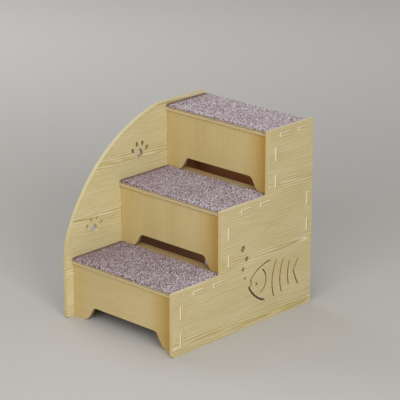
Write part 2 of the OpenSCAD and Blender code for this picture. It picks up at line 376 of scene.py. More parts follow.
@dataclass(frozen=True)
class Grain:
    """The pine that is printed on a board, as if cut from a log of cylinders.

    Rings lie about heart lines that repeat across the board. The cut runs a little aslant to the log
    and wanders, which closes the rings near a heart into long pointed loops.
    """

    across_at: float
    pitch: float
    seed: float
    lean: float = 0.0
    ring_gap: float = 5.0 * MM
    ring_strength: float = 0.48
    heart_strength: float = 1.05
    heart_fade: tuple[float, float] = (3.0 * MM, 17 * MM)
    flame_width: float = 5.5 * MM
    flame_range: tuple[float, float] = (0.52, 0.66)
    tilt: float = 0.03
    wander_reach: float = 9 * MM
    ripple_reach: float = 2.2 * MM
    tip_reach: float = 18 * MM
    jitter_reach: float = 1.15
    late_power: float = 1.4
    cream_share: float = 0.26
    cream_at_heart: float = 0.70
    late_rise: Ramp = Ramp(0.22, 0.80, smooth=True)
    late_fall: Ramp = Ramp(0.84, 1.0, 1.0, 0.0, smooth=True)
    early_rise: Ramp = Ramp(0.0, 0.12, smooth=True)
    early_fall: Ramp = Ramp(0.14, 0.40, 1.0, 0.0, smooth=True)
    breaks: Ramp = Ramp(0.38, 0.60, 0.05, 1.25)
    wander: Noise = Noise((3.0, 8.0, 8.0))
    ripple: Noise = Noise((17.0, 60.0, 60.0), rough=0.55, step=1.0)
    tip: Noise = Noise((2.0, 4.0, 4.0), detail=1.0, step=2.0)
    stroke: Noise = Noise((13.0, 150.0, 150.0), rough=0.6, step=4.0)
    jitter: Noise = Noise((9.0, 90.0, 90.0), detail=1.0, step=12.0)
    tongues: Noise = Noise((11.0, 16.0, 16.0), detail=1.0, step=13.0)
    seed_stride: Triple = (1.7, 2.3, 0.9)
    step_stride: Triple = (1.0, -1.0, 2.0)

    def read(self, mix: BoardRecipe, noise: Noise) -> Socket:
        """Reads a noise from a start of this board's own, so that no two boards look alike."""
        start = (self.seed * far + noise.step * near for far, near in zip(self.seed_stride, self.step_stride))
        return mix.noise(mix.board, noise, tuple(start))

    def off_heart(self, mix: BoardRecipe) -> Socket:
        """How far a point lies from the nearest heart line, once the lines wander and ripple.

        Args:
            mix: The material.

        Returns:
            The distance.
        """
        wander = mix.spread(self.read(mix, self.wander), self.wander_reach)
        ripple = mix.spread(self.read(mix, self.ripple), self.ripple_reach)
        moved = mix.math("ADD", mix.across, mix.math("ADD", wander, ripple))
        moved = mix.math("SUBTRACT", moved, mix.math("MULTIPLY", mix.along, self.lean))
        return mix.math("PINGPONG", mix.math("SUBTRACT", moved, self.across_at), self.pitch / 2)

    def flame(self, mix: BoardRecipe, off_heart: Socket) -> Socket:
        """Marks the long yellow flames that lie on a heart line here and there.

        Args:
            mix: The material.
            off_heart: How far the point lies from the nearest heart line.

        Returns:
            How strong the flame is.
        """
        tongue = mix.ramp(self.read(mix, self.tongues), Ramp(*self.flame_range, 0.0, self.flame_width))
        inside = mix.math("SUBTRACT", tongue, off_heart)
        return mix.ramp(inside, Ramp(0.0, self.flame_width / 2, smooth=True))

    def draw(self, mix: BoardRecipe) -> tuple[Socket, Socket, Socket]:
        """Draws the growth lines.

        Args:
            mix: The material.

        Returns:
            How golden a line is there, how creamy the streak beside it, and how strong a heart's flame is.
        """
        off_heart = self.off_heart(mix)
        tip = mix.spread(self.read(mix, self.tip), self.tip_reach)
        depth = mix.math("ADD", tip, mix.math("MULTIPLY", mix.along, self.tilt))
        radius = mix.math("SQRT", mix.math("ADD", mix.math("MULTIPLY", off_heart, off_heart),
                                           mix.math("MULTIPLY", depth, depth)))
        jitter = mix.spread(self.read(mix, self.jitter), self.jitter_reach)
        phase = mix.math("FRACT", mix.math("ADD", mix.math("DIVIDE", radius, self.ring_gap), jitter))
        late = mix.math("MULTIPLY", mix.math("POWER", mix.ramp(phase, self.late_rise), self.late_power),
                        mix.ramp(phase, self.late_fall))
        heart = mix.ramp(off_heart, Ramp(*self.heart_fade, 1.0, 0.0, smooth=True))
        at_heart = self.heart_strength - self.ring_strength
        strength = mix.math("MULTIPLY_ADD", heart, at_heart, self.ring_strength)
        broken = mix.ramp(self.read(mix, self.stroke), self.breaks)
        golden = mix.math("MULTIPLY", mix.math("MULTIPLY", late, strength), broken)
        early = mix.math("MULTIPLY", mix.ramp(phase, self.early_rise), mix.ramp(phase, self.early_fall))
        share = mix.math("MULTIPLY_ADD", heart, self.cream_at_heart, self.cream_share)
        return golden, mix.math("MULTIPLY", early, share), self.flame(mix, off_heart)


@dataclass(frozen=True)
class PineFinish:
    """Printed pine on a board's two broad faces, with plain cut edges."""

    name: str
    tones: PineTones
    face: Axis
    along: Axis
    grain: Grain
    edge_below: float = 0.75
    flame_share: float = 0.70
    edge_roughness: float = 0.20
    line_groove: float = -0.6
    relief: float = 0.06 * MM
    shine: float = 0.40
    upward: Ramp = Ramp(0.15, 0.75, smooth=True)
    roughness: Ramp = Ramp(0.3, 0.7, 0.42, 0.50)
    fibre_share: Ramp = Ramp(0.3, 0.7, 0.0, 0.24)
    patch_share: Ramp = Ramp(0.35, 0.65, 0.0, 0.30)
    saw_share: Ramp = Ramp(0.3, 0.7, 0.0, 0.18)
    layer_share: Ramp = Ramp(0.4, 0.7, 0.0, 0.22)
    fluff_share: Ramp = Ramp(0.3, 0.7, 0.0, 0.35)
    fibre: Noise = Noise((34.0, 900.0, 900.0), detail=3.0, rough=0.6, step=3.0)
    patch: Noise = Noise((6.0, 26.0, 26.0), step=5.0)
    saw: Noise = Noise((180.0, 620.0, 620.0), detail=3.0, rough=0.6, step=6.0)
    layers: Noise = Noise((8.0, 60.0, 900.0), step=7.0)
    fluff: Noise = Noise((420.0, 420.0, 420.0), detail=3.0, rough=0.6, step=9.0)

    def material(self) -> bpy.types.Material:
        """Builds the node material.

        Returns:
            The material.
        """
        mix = BoardRecipe(self.name, self.face, self.along)
        golden, cream, flame = self.grain.draw(mix)
        fibre, patch = self.grain.read(mix, self.fibre), self.grain.read(mix, self.patch)
        wood = mix.blend(mix.ramp(patch, self.patch_share), self.tones.pale, self.tones.golden)
        wood = mix.blend(cream, wood, self.tones.cream)
        wood = mix.blend(mix.math("MULTIPLY", flame, self.flame_share), wood, self.tones.heart)
        wood = mix.blend(golden, wood, self.tones.golden)
        wood = mix.blend(mix.ramp(fibre, self.fibre_share), wood, self.tones.golden)
        wood = self.broad_faces(mix, wood)
        is_edge = mix.math("LESS_THAN", mix.math("ABSOLUTE", mix.facing[self.face.value]), self.edge_below)
        colour = mix.blend(is_edge, wood, self.cut_edges(mix))
        rough = mix.math("ADD", mix.ramp(fibre, self.roughness),
                         mix.math("MULTIPLY", is_edge, self.edge_roughness))
        height = mix.math("ADD", mix.math("MULTIPLY", golden, self.line_groove), fibre)
        return mix.finish(colour, rough, height, self.relief, Specular_IOR_Level=self.shine)

    def broad_faces(self, mix: BoardRecipe, wood: Socket) -> Socket:
        """The colour of the two broad faces, here the same print on both."""
        return wood

    def fibreboard_and_shade(self, mix: BoardRecipe) -> Socket:
        """The plain brown back of a board where no print covers it, which also stands in as painted shade for
        the hollow under the steps.
        """
        fluff = mix.ramp(self.grain.read(mix, self.fluff), self.fluff_share)
        return mix.blend(fluff, self.tones.back, self.tones.back_fleck)

    def cut_edges(self, mix: BoardRecipe) -> Socket:
        """Draws the sawn edges: straw where they face the front, and paler where they face up, painted light
        from above.

        Args:
            mix: The material.

        Returns:
            The colour of the edge.
        """
        # Painted light: the edges that face up are paler than those facing the front.
        upward = mix.ramp(mix.facing[Axis.Z.value], self.upward)
        edge = mix.blend(upward, self.tones.front_edge, self.tones.top_edge)
        for noise, share in ((self.saw, self.saw_share), (self.layers, self.layer_share)):
            edge = mix.blend(mix.ramp(self.grain.read(mix, noise), share), edge, self.tones.golden)
        return edge


@dataclass(frozen=True)
class PanelFinish(PineFinish):
    """A side panel's finish: its figures' walls carry painted tones, one for each figure, standing in for the
    shade in the cut and for what shows through it.
    """

    cut_outs: tuple[tuple[Box, Colour], ...] = ()
    inside: tuple[Box, ...] = ()
    inner_sign: float = 1.0
    inner_above: float = 0.5
    wall_patches: Noise = Noise((300.0, 300.0, 120.0), step=8.0)
    wall_patch_share: Ramp = Ramp(0.3, 0.7, 0.0, 0.35)

    def broad_faces(self, mix: BoardRecipe, wood: Socket) -> Socket:
        """The print, and painted shade on the inner face under the steps: the plain brown of a board's back,
        put only where the steps shade it.

        Args:
            mix: The material.
            wood: The print's colour.

        Returns:
            The colour of the broad faces.
        """
        inward = mix.math("MULTIPLY", mix.facing[Axis.X.value], self.inner_sign)
        inner = mix.math("GREATER_THAN", inward, self.inner_above)
        plain = self.fibreboard_and_shade(mix)
        # Painted shade: the inner face turns plain brown only inside the boxes under the steps.
        for low, high in self.inside:
            wood = mix.blend(mix.math("MULTIPLY", inner, mix.within(mix.point, low, high)), wood, plain)
        return wood

    def cut_edges(self, mix: BoardRecipe) -> Socket:
        """Draws the sawn outer edges, and the figures' walls in their painted tones of shade.

        Args:
            mix: The material.

        Returns:
            The colour of the edge.
        """
        colour = super().cut_edges(mix)
        # The figures' walls get painted tones, one for each figure, that stand in for the shade in the cut
        # and for what shows through it.
        patchy = mix.ramp(self.grain.read(mix, self.wall_patches), self.wall_patch_share)
        for (low, high), tone in self.cut_outs:
            wall = mix.blend(patchy, tone, self.tones.golden)
            colour = mix.blend(mix.within(mix.point, low, high), colour, wall)
        return colour


@dataclass(frozen=True)
class TabbedFinish(PineFinish):
    """The finish of a board that crosses the stairs and ends in tabs.

    The tabs stand proud of the side panels. Their sides are bare wood, and on each end face a bare rim
    and a darker line of painted shade beside it run along the side that rim_axis and rim_at name.
    """

    panel_tones: PineTones | None = None
    panel_face: float = 150 * MM
    rim_axis: Axis = Axis.Y
    rim_at: float = 0.0
    rim_inward: float = 1.0
    rim_width: float = 1.3 * MM
    rim_fade: float = 5.2 * MM
    rim_shade_share: float = 0.80
    end_above: float = 0.75
    end_saw: Noise = Noise((500.0, 500.0, 500.0), rough=0.6, step=10.0)
    end_share: Ramp = Ramp(0.3, 0.7, 0.0, 0.25)
    back_sign: float = 1.0
    back_above: float = 0.5
    plain_behind: float = -1.0
    arch_reach: float = 0.0
    sway_reach: float = 16 * MM
    sway: Noise = Noise((4.0, 4.0, 4.0), detail=1.0, step=11.0)
    # Painted shade near each end of the board, where the side panels shade it.
    end_shade_left: Ramp = Ramp(-132 * MM, -96 * MM, 0.20, 0.0, smooth=True)
    end_shade_right: Ramp = Ramp(60 * MM, 126 * MM, 0.0, 0.88, smooth=True)

    def proud(self, mix: BoardRecipe) -> Socket:
        """Marks what stands proud of the side panels' outer faces."""
        return mix.math("GREATER_THAN", mix.math("ABSOLUTE", mix.point[Axis.X.value]), self.panel_face)

    def broad_faces(self, mix: BoardRecipe, wood: Socket) -> Socket:
        """The print with painted shade towards both ends, tinted by light bounced off the side panels, and
        plain brown board on the face that looks inside, which also stands in as painted shade for the hollow
        under the steps.

        Args:
            mix: The material.
            wood: The print's colour.

        Returns:
            The colour of the broad faces.
        """
        sway = mix.spread(self.grain.read(mix, self.sway), self.sway_reach)
        at_x = mix.math("ADD", mix.point[Axis.X.value], sway)
        # Painted shade towards both ends, tinted by light bounced off the side panels.
        end_shade_share = mix.math("MAXIMUM", mix.ramp(at_x, self.end_shade_left), mix.ramp(at_x, self.end_shade_right))
        wood = mix.blend(end_shade_share, wood, self.tones.end_shade)
        # The face that looks inside is plain brown, partly the board's back and partly painted shade for the
        # hollow under the steps; the nose's underside stays printed.
        backward = mix.math("MULTIPLY", mix.facing[self.face.value], self.back_sign)
        is_back = mix.math("MULTIPLY", mix.math("GREATER_THAN", backward, self.back_above),
                           mix.math("GREATER_THAN", mix.point[Axis.Y.value], self.plain_behind))
        wood = mix.blend(is_back, wood, self.fibreboard_and_shade(mix))
        return mix.blend(self.proud(mix), wood, self.tones.bare)

    def cut_edges(self, mix: BoardRecipe) -> Socket:
        """Draws the sawn edges, the arch's walls in painted shade, and the bare sides and the ends of the
        tabs, with a line of painted shade on each end.

        Args:
            mix: The material.

        Returns:
            The colour of the edge.
        """
        colour = super().cut_edges(mix)
        # Painted shade: the arch's walls are brown.
        hollow = mix.math("LESS_THAN", mix.math("ABSOLUTE", mix.point[Axis.X.value]), self.arch_reach)
        colour = mix.blend(hollow, colour, self.tones.arch)
        proud = self.proud(mix)
        sideways = mix.math("GREATER_THAN", mix.math("ABSOLUTE", mix.facing[Axis.X.value]), self.end_above)
        side = mix.blend(proud, colour, self.tones.bare)
        return mix.blend(mix.math("MULTIPLY", sideways, proud), side, self.tab_end(mix))

    def tab_end(self, mix: BoardRecipe) -> Socket:
        """Draws a tab's end face: its bare rim, the darker line of painted shade beside it, and the panel's
        own print.

        Args:
            mix: The material.

        Returns:
            The colour of the end face.
        """
        panel = self.panel_tones or self.tones
        off_rim = mix.math("SUBTRACT", mix.point[self.rim_axis.value], self.rim_at)
        inward = mix.math("MULTIPLY", off_rim, self.rim_inward)
        # Painted shade: a darker line beside the bare rim.
        dull = mix.blend(self.rim_shade_share, panel.golden, self.tones.rim_shade)
        past_rim = mix.ramp(inward, Ramp(self.rim_width, self.rim_fade, smooth=True))
        end = mix.blend(past_rim, dull, panel.pale)
        end = mix.blend(mix.ramp(self.grain.read(mix, self.end_saw), self.end_share), end, panel.golden)
        return mix.blend(mix.math("LESS_THAN", inward, self.rim_width), end, self.tones.bare)


@dataclass(frozen=True)
class PileFinish:
    """Cut pile whose tufts are flecked from plum to pale lilac grey, with painted shade down at their roots
    and along the left and back edges, and painted light and shade across each carpet and from step to step.
    """

    name: str
    low: Triple
    high: Triple
    painted_step_light: float
    painted_light_slope: float
    shadow: Colour = (0.142, 0.092, 0.095)
    dark: Colour = (0.232, 0.156, 0.160)
    middle: Colour = (0.328, 0.242, 0.252)
    light: Colour = (0.446, 0.372, 0.420)
    fleck: Colour = (0.650, 0.592, 0.650)
    blue: Colour = (0.310, 0.275, 0.390)
    straw: Colour = (0.410, 0.350, 0.250)
    # The next tone is painted shade for the pile's left and back edges.
    edge_shade_tone: Colour = (0.150, 0.068, 0.036)
    foot: Colour = (0.290, 0.205, 0.120)
    stops: tuple[float, ...] = (0.05, 0.27, 0.50, 0.74, 0.97)
    tuft_weight: float = 1.10
    yarn_weight: float = 0.44
    drift_weight: float = 0.36
    ground: float = -0.05
    painted_light_span: tuple[float, float] = (-20 * MM, 130 * MM)
    painted_front_light: Ramp = Ramp(-2 * MM, 12 * MM, 0.15, 0.0)
    left_shade: Ramp = Ramp(8 * MM, 60 * MM, -0.10, 0.0, smooth=True)
    odd_turns: float = 13.0
    blue_share: Ramp = Ramp(0.16, 0.18, 0.40, 0.0)
    straw_share: Ramp = Ramp(0.86, 0.88, 0.0, 0.40)
    left_edge_shade: Ramp = Ramp(3.5 * MM, 14.0 * MM, 0.94, 0.0, smooth=True)
    back_edge_shade: Ramp = Ramp(1.0 * MM, 5.0 * MM, 0.40, 0.0, smooth=True)
    fringe: Ramp = Ramp(-0.2 * MM, 1.8 * MM, 0.90, 0.0)
    root_shade: Ramp = Ramp(1.5 * MM, 5.0 * MM, 1.0, 0.45)
    root_shade_range: tuple[float, float] = (0.1, 0.85)
    roughness: Ramp = Ramp(0.0, 1.0, 0.88, 1.0)
    relief: float = 0.25 * MM
    shine: float = 0.2
    sheen: float = 0.25
    sheen_roughness: float = 0.5
    yarn: Noise = Noise((1500.0, 1500.0, 1100.0), rough=0.6)
    hair: Noise = Noise((2600.0, 2600.0, 900.0), rough=0.6)
    drift: Noise = Noise((14.0, 14.0, 14.0))
    drift_start: Triple = (4.0, 1.0, 0.0)

    def material(self) -> bpy.types.Material:
        """Builds the node material.

        Returns:
            The material.
        """
        mix = Recipe(self.name)
        place = mix.node("ShaderNodeTexCoord").outputs["Object"]
        tuft, rise = (mix.node("ShaderNodeAttribute", attribute_name=name).outputs["Fac"]
                      for name in ("tuft", "rise"))
        at = mix.split(place)
        from_left, from_front, from_foot = (
            mix.math("SUBTRACT", one, least) for one, least in zip(at, self.low))
        from_back = mix.math("SUBTRACT", self.high[1], at[1])
        yarn = mix.noise(place, self.yarn)
        # Painted light and shade in the value: darker on the lower steps and lighter on the upper one,
        # lighter towards the right and along the front, darker towards the left.
        value = mix.math("MULTIPLY", tuft, self.tuft_weight)
        for term in (mix.spread(yarn, self.yarn_weight),
                     mix.spread(mix.noise(place, self.drift, self.drift_start), self.drift_weight),
                     mix.ramp(at[0], Ramp(*self.painted_light_span, 0.0, self.painted_light_slope, smooth=True)),
                     mix.ramp(from_front, self.painted_front_light), mix.ramp(from_left, self.left_shade),
                     self.painted_step_light + self.ground):
            value = mix.math("ADD", value, term)
        # Painted shade along the left panel and the back edge: the tufts there turn dark brown.
        edge_shade = mix.math("MAXIMUM", mix.ramp(from_left, self.left_edge_shade), mix.ramp(from_back, self.back_edge_shade))
        yarns = mix.blend(edge_shade, self.flecks(mix, tuft, value), self.edge_shade_tone)
        yarns = mix.blend(mix.ramp(from_foot, self.fringe), yarns, self.foot)
        # Painted shade: the tufts darken towards their roots, less so along the front.
        root = mix.ramp(from_front, self.root_shade)
        tall = mix.ramp(rise, Ramp(*self.root_shade_range, root, 1.0))
        shaded = mix.blend(1.0, yarns, mix.join(tall, tall, tall), "MULTIPLY")
        return mix.finish(shaded, mix.ramp(yarn, self.roughness), mix.noise(place, self.hair), self.relief,
                          Specular_IOR_Level=self.shine, Sheen_Weight=self.sheen,
                          Sheen_Roughness=self.sheen_roughness)

    def flecks(self, mix: Recipe, tuft: Socket, value: Socket) -> Socket:
        """Colours the tufts by their value, with an odd blue or straw one among them.

        Args:
            mix: The material.
            tuft: Each tuft's own random number.
            value: How light it is.

        Returns:
            The colour of the yarn.
        """
        ramp = mix.node("ShaderNodeValToRGB", {"Fac": value})
        marks = ramp.color_ramp.elements
        while len(marks) < len(self.stops):
            marks.new(0.5)
        tones = (self.shadow, self.dark, self.middle, self.light, self.fleck)
        for mark, at, tone in zip(marks, self.stops, tones):
            mark.position = at
            mark.color = (*tone, 1.0)
        odd = mix.math("FRACT", mix.math("MULTIPLY", tuft, self.odd_turns))
        yarns = mix.blend(mix.ramp(odd, self.blue_share), ramp.outputs[0], self.blue)
        return mix.blend(mix.ramp(odd, self.straw_share), yarns, self.straw)


@dataclass(frozen=True)
class BackingFinish:
    """The brown woven backing that the pile is stitched through."""

    name: str = "carpet_backing"
    thread: Colour = (0.120, 0.070, 0.038)
    hollow: Colour = (0.045, 0.026, 0.016)
    threads_per_metre: float = 620.0
    roughness: Ramp = Ramp(0.0, 1.0, 1.0, 0.9)
    relief: float = 0.2 * MM
    shine: float = 0.2

    def material(self) -> bpy.types.Material:
        """Builds the node material.

        Returns:
            The material.
        """
        mix = Recipe(self.name)
        point = mix.split(mix.node("ShaderNodeTexCoord").outputs["Object"])
        turns = self.threads_per_metre * math.pi
        warp, weft = (mix.math("ABSOLUTE", mix.math("SINE", mix.math("MULTIPLY", point[axis.value], turns)))
                      for axis in (Axis.X, Axis.Y))
        weave = mix.math("MAXIMUM", warp, weft)
        colour = mix.blend(weave, self.hollow, self.thread)
        return mix.finish(colour, mix.ramp(weave, self.roughness), weave, self.relief,
                          Specular_IOR_Level=self.shine)


@dataclass
class Board:
    """One rigid board of the stairs, whose solid the frame already holds."""

    node: str
    slot: Slot
    finish: PineFinish
    ease: float = 0.4 * MM
    ease_steps: int = 2
    weld: float = 0.1 * MM
    flat_angle: float = math.radians(0.5)
    sharp_angle: float = math.radians(40)

    def dress(self) -> bpy.types.Object:
        """Eases the board's sharp edges and gives it its finish.

        Returns:
            The board.
        """
        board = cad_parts[self.node]
        join = board.modifiers.new("join", "WELD")
        join.merge_threshold = self.weld
        flat = board.modifiers.new("flat", "DECIMATE")
        flat.decimate_type = "DISSOLVE"
        flat.angle_limit = self.flat_angle
        ease = board.modifiers.new("ease", "BEVEL")
        ease.width = self.ease
        ease.segments = self.ease_steps
        ease.limit_method = "ANGLE"
        ease.angle_limit = self.sharp_angle
        ease.use_clamp_overlap = True
        board.data.materials.clear()
        board.data.materials.append(self.finish.material())
        LOG.info("board %s is dressed in %s", self.node, self.finish.name)
        return board


@dataclass
class Carpet:
    """A tufted carpet on one tread: a woven backing and a cut pile.

    The pile curls down along its front in narrow strips. For each of them front_curl gives how far it
    goes out and how far down, in millimetres.
    """

    name: str
    tread: str
    seed: int
    painted_step_light: float
    painted_light_slope: float
    backing_t: float = 1.0 * MM
    corner_r: float = 4.0 * MM
    corner_steps: int = 6
    stalk_r: float = 0.62 * MM
    crown_r: float = 0.98 * MM
    crown_share: float = 0.86
    tuft_sides: int = 5
    tuft_gap: float = 1.60 * MM
    tries_per_gap: float = 12.0
    tuft_lean: float = math.radians(14)
    least_tuft: Triple = (0.88, 0.88, 0.86)
    most_tuft: Triple = (1.14, 1.14, 1.05)
    shade_step: int = 3
    side_margin: float = 1.2 * MM
    back_margin: float = 1.8 * MM
    front_margin: float = 1.0 * MM
    front_tuck: float = 0.3 * MM
    front_curl: tuple[tuple[float, float], ...] = ((0.9, 0.15), (0.6, 0.6), (0.1, 1.3), (0.0, 0.7))
    curl_length: float = 0.65
    near: float = 0.1 * MM
    faces_up: float = 0.9

    def __post_init__(self) -> None:
        """Reads the carpet's place from the plain slab that it stands for."""
        self.low, self.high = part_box(self.name)

    def pile_height(self) -> float:
        """How far the pile stands above its backing."""
        return self.high.z - self.low.z - self.backing_t

    def backing(self) -> bpy.types.Object:
        """Models the woven backing that lies on the tread, with its two front corners rounded.

        Returns:
            The backing.
        """
        low = Vector((self.low.x, self.low.y + self.front_tuck, self.low.z))
        high = Vector((self.high.x, self.high.y, self.low.z + self.backing_t))
        Bench.deselect_all()
        bpy.ops.mesh.primitive_cube_add(size=1.0, location=(low + high) / 2, scale=high - low)
        slab = Bench.named(self.name + "_backing")

        def front_upright(one: Vector, other: Vector) -> bool:
            """Whether an edge is one of the two upright ones at the front."""
            return abs(one.z - other.z) > self.backing_t / 2 and max(one.y, other.y) < low.y + self.near

        Bench.pick(slab, "EDGE", front_upright)
        bpy.ops.mesh.bevel(offset=self.corner_r, segments=self.corner_steps, affect="EDGES")
        bpy.ops.object.mode_set(mode="OBJECT")
        slab.data.materials.append(BackingFinish().material())
        return slab

    def tuft(self) -> bpy.types.Object:
        """Models one tuft: a stalk that widens upwards to a blunt crown.

        Returns:
            The tuft, standing on the origin.
        """
        Bench.deselect_all()
        tall = self.pile_height()
        crown = self.crown_share * tall
        bpy.ops.mesh.primitive_cylinder_add(vertices=self.tuft_sides, radius=self.stalk_r, depth=crown,
                                            location=(0, 0, crown / 2), end_fill_type="NGON")
        tuft = Bench.named("tuft")
        Bench.pick(tuft, "FACE", lambda centre, normal: normal.z > self.faces_up)
        wide = self.crown_r / self.stalk_r
        bpy.ops.transform.resize(value=(wide, wide, 1.0), center_override=(0.0, 0.0, crown))
        bpy.ops.mesh.poke(offset=tall - crown)
        bpy.ops.object.mode_set(mode="OBJECT")
        bpy.ops.object.shade_smooth()
        return tuft

    def stitch_field(self) -> bpy.types.Object:
        """Models the sheet that the stitches are spread over, with its two front corners rounded.

        Returns:
            The field.
        """
        low = Vector((self.low.x + self.side_margin, self.low.y + self.front_margin, 0.0))
        high = Vector((self.high.x - self.side_margin, self.high.y - self.back_margin, 0.0))
        low.z = high.z = self.low.z + self.backing_t
        Bench.deselect_all()
        bpy.ops.mesh.primitive_plane_add(size=1.0, location=(low + high) / 2)
        bpy.context.object.scale = (high.x - low.x, high.y - low.y, 1.0)
        field = Bench.named(self.name + "_pile")
        Bench.pick(field, "VERT", lambda co: abs(co.y - low.y) < self.near)
        bpy.ops.mesh.bevel(offset=self.corner_r, segments=self.corner_steps, affect="VERTICES")
        bpy.ops.object.mode_set(mode="OBJECT")
        return field

    def curl(self, tree: bpy.types.NodeTree, field: Socket) -> Socket:
        """Curls the field down along its front, one narrow strip after another.

        Args:
            tree: The node tree.
            field: The flat field.

        Returns:
            The socket that gives the curled field.
        """
        place, parts = tree.nodes.new("GeometryNodeInputPosition"), tree.nodes.new("ShaderNodeSeparateXYZ")
        at_front = tree.nodes.new("ShaderNodeMath")
        at_front.operation = "LESS_THAN"
        at_front.inputs[1].default_value = self.low.y + self.front_margin + self.corner_r
        tree.links.new(place.outputs[0], parts.inputs[0])
        tree.links.new(parts.outputs[1], at_front.inputs[0])
        edge = at_front.outputs[0]
        for out, down in self.front_curl:
            strip = tree.nodes.new("GeometryNodeExtrudeMesh")
            strip.mode = "EDGES"
            strip.inputs["Offset Scale"].default_value = 1.0
            reach = tree.nodes.new("FunctionNodeInputVector")
            reach.vector = (0.0, -out * MM, -down * MM)
            tree.links.new(field, strip.inputs["Mesh"])
            tree.links.new(edge, strip.inputs["Selection"])
            tree.links.new(reach.outputs[0], strip.inputs["Offset"])
            field, edge = strip.outputs["Mesh"], strip.outputs["Top"]
        return field

    def stitching(self, tuft: bpy.types.Object) -> bpy.types.NodeTree:
        """Sets up the nodes that plant a tuft at every stitch.

        Args:
            tuft: The tuft that is copied.

        Returns:
            The node tree.
        """
        tree = bpy.data.node_groups.new(self.name + "_stitching", "GeometryNodeTree")
        tree.interface.new_socket("Geometry", in_out="INPUT", socket_type="NodeSocketGeometry")
        tree.interface.new_socket("Geometry", in_out="OUTPUT", socket_type="NodeSocketGeometry")
        new, link = tree.nodes.new, tree.links.new
        source, result = new("NodeGroupInput"), new("NodeGroupOutput")
        spread = new("GeometryNodeDistributePointsOnFaces")
        spread.distribute_method = "POISSON"
        spread.inputs["Distance Min"].default_value = self.tuft_gap
        spread.inputs["Density Max"].default_value = self.tries_per_gap / self.tuft_gap ** 2
        spread.inputs["Seed"].default_value = self.seed
        shape = new("GeometryNodeObjectInfo")
        shape.inputs["Object"].default_value = tuft
        lean = self.random_vector(tree, (-self.tuft_lean, -self.tuft_lean, 0.0),
                                  (self.tuft_lean, self.tuft_lean, math.tau), step=1)
        turn = new("FunctionNodeRotateEuler")
        turn.space = "LOCAL"
        link(spread.outputs["Rotation"], turn.inputs["Rotation"])
        link(lean, turn.inputs["Rotate By"])
        plant = new("GeometryNodeInstanceOnPoints")
        link(self.curl(tree, source.outputs[0]), spread.inputs["Mesh"])
        link(spread.outputs["Points"], plant.inputs["Points"])
        link(self.tuft_rise(tree, shape.outputs["Geometry"]), plant.inputs["Instance"])
        link(turn.outputs[0], plant.inputs["Rotation"])
        link(self.tuft_size(tree, spread.outputs["Normal"]), plant.inputs["Scale"])
        real = new("GeometryNodeRealizeInstances")
        shade = new("FunctionNodeRandomValue")
        shade.data_type = "FLOAT"
        shade.inputs["Seed"].default_value = self.seed + self.shade_step
        value = next(o for o in shade.outputs if o.enabled and o.type == "VALUE")
        link(self.keep(tree, plant.outputs[0], "tuft", value, "INSTANCE"), real.inputs[0])
        link(real.outputs[0], result.inputs[0])
        return tree

    def tuft_size(self, tree: bpy.types.NodeTree, normal: Socket) -> Socket:
        """Varies the tufts' size, and shortens those that curl over the front.

        Args:
            tree: The node tree.
            normal: Which way the field faces at a stitch.

        Returns:
            The socket that gives each tuft's size.
        """
        size = self.random_vector(tree, self.least_tuft, self.most_tuft, step=2)
        parts = tree.nodes.new("ShaderNodeSeparateXYZ")
        tree.links.new(normal, parts.inputs[0])
        upright = tree.nodes.new("ShaderNodeMapRange")
        for place, value in ((1, 0.0), (2, 1.0), (3, self.curl_length), (4, 1.0)):
            upright.inputs[place].default_value = value
        tree.links.new(parts.outputs[2], upright.inputs[0])
        scaled = tree.nodes.new("ShaderNodeVectorMath")
        scaled.operation = "SCALE"
        tree.links.new(size, scaled.inputs[0])
        tree.links.new(upright.outputs[0], scaled.inputs["Scale"])
        return scaled.outputs[0]

    def tuft_rise(self, tree: bpy.types.NodeTree, shape: Socket) -> Socket:
        """Notes on the tuft how far up from root to tip each point is.

        Args:
            tree: The node tree.
            shape: The tuft.

        Returns:
            The socket that gives the tuft with its rise attribute.
        """
        place, parts = tree.nodes.new("GeometryNodeInputPosition"), tree.nodes.new("ShaderNodeSeparateXYZ")
        share = tree.nodes.new("ShaderNodeMath")
        share.operation = "DIVIDE"
        share.inputs[1].default_value = self.pile_height()
        tree.links.new(place.outputs[0], parts.inputs[0])
        tree.links.new(parts.outputs[2], share.inputs[0])
        return self.keep(tree, shape, "rise", share.outputs[0], "POINT")

    def keep(self, tree: bpy.types.NodeTree, source: Socket, name: str, value: Socket, domain: str) -> Socket:
        """Stores a number as a named attribute, which the material reads.

        Args:
            tree: The node tree.
            source: What the attribute is stored on.
            name: The attribute's name.
            value: The number.
            domain: POINT or INSTANCE.

        Returns:
            The socket that gives source with the attribute.
        """
        store = tree.nodes.new("GeometryNodeStoreNamedAttribute")
        store.data_type = "FLOAT"
        store.domain = domain
        store.inputs["Name"].default_value = name
        tree.links.new(source, store.inputs["Geometry"])
        tree.links.new(value, next(i for i in store.inputs if i.name == "Value" and i.enabled))
        return store.outputs[0]

    def random_vector(self, tree: bpy.types.NodeTree, low: Triple, high: Triple, step: int) -> Socket:
        """Adds a random vector between two corners.

        Args:
            tree: The node tree.
            low: The lowest corner.
            high: The highest corner.
            step: What sets this draw apart from the carpet's others.

        Returns:
            The socket that gives the vector.
        """
        made = tree.nodes.new("FunctionNodeRandomValue")
        made.data_type = "FLOAT_VECTOR"
        made.inputs[0].default_value = low
        made.inputs[1].default_value = high
        made.inputs["Seed"].default_value = self.seed + step
        return made.outputs[0]

    def pile(self) -> bpy.types.Object:
        """Plants the tufts over the backing and keeps them as one mesh.

        Returns:
            The pile.
        """
        field, tuft = self.stitch_field(), self.tuft()
        grow = field.modifiers.new("stitches", "NODES")
        grow.node_group = self.stitching(tuft)
        Bench.apply(field, "stitches")
        bpy.data.objects.remove(tuft)
        field.data.materials.clear()
        finish = PileFinish(self.name + "_pile", tuple(self.low), tuple(self.high), self.painted_step_light, self.painted_light_slope)
        field.data.materials.append(finish.material())
        return field

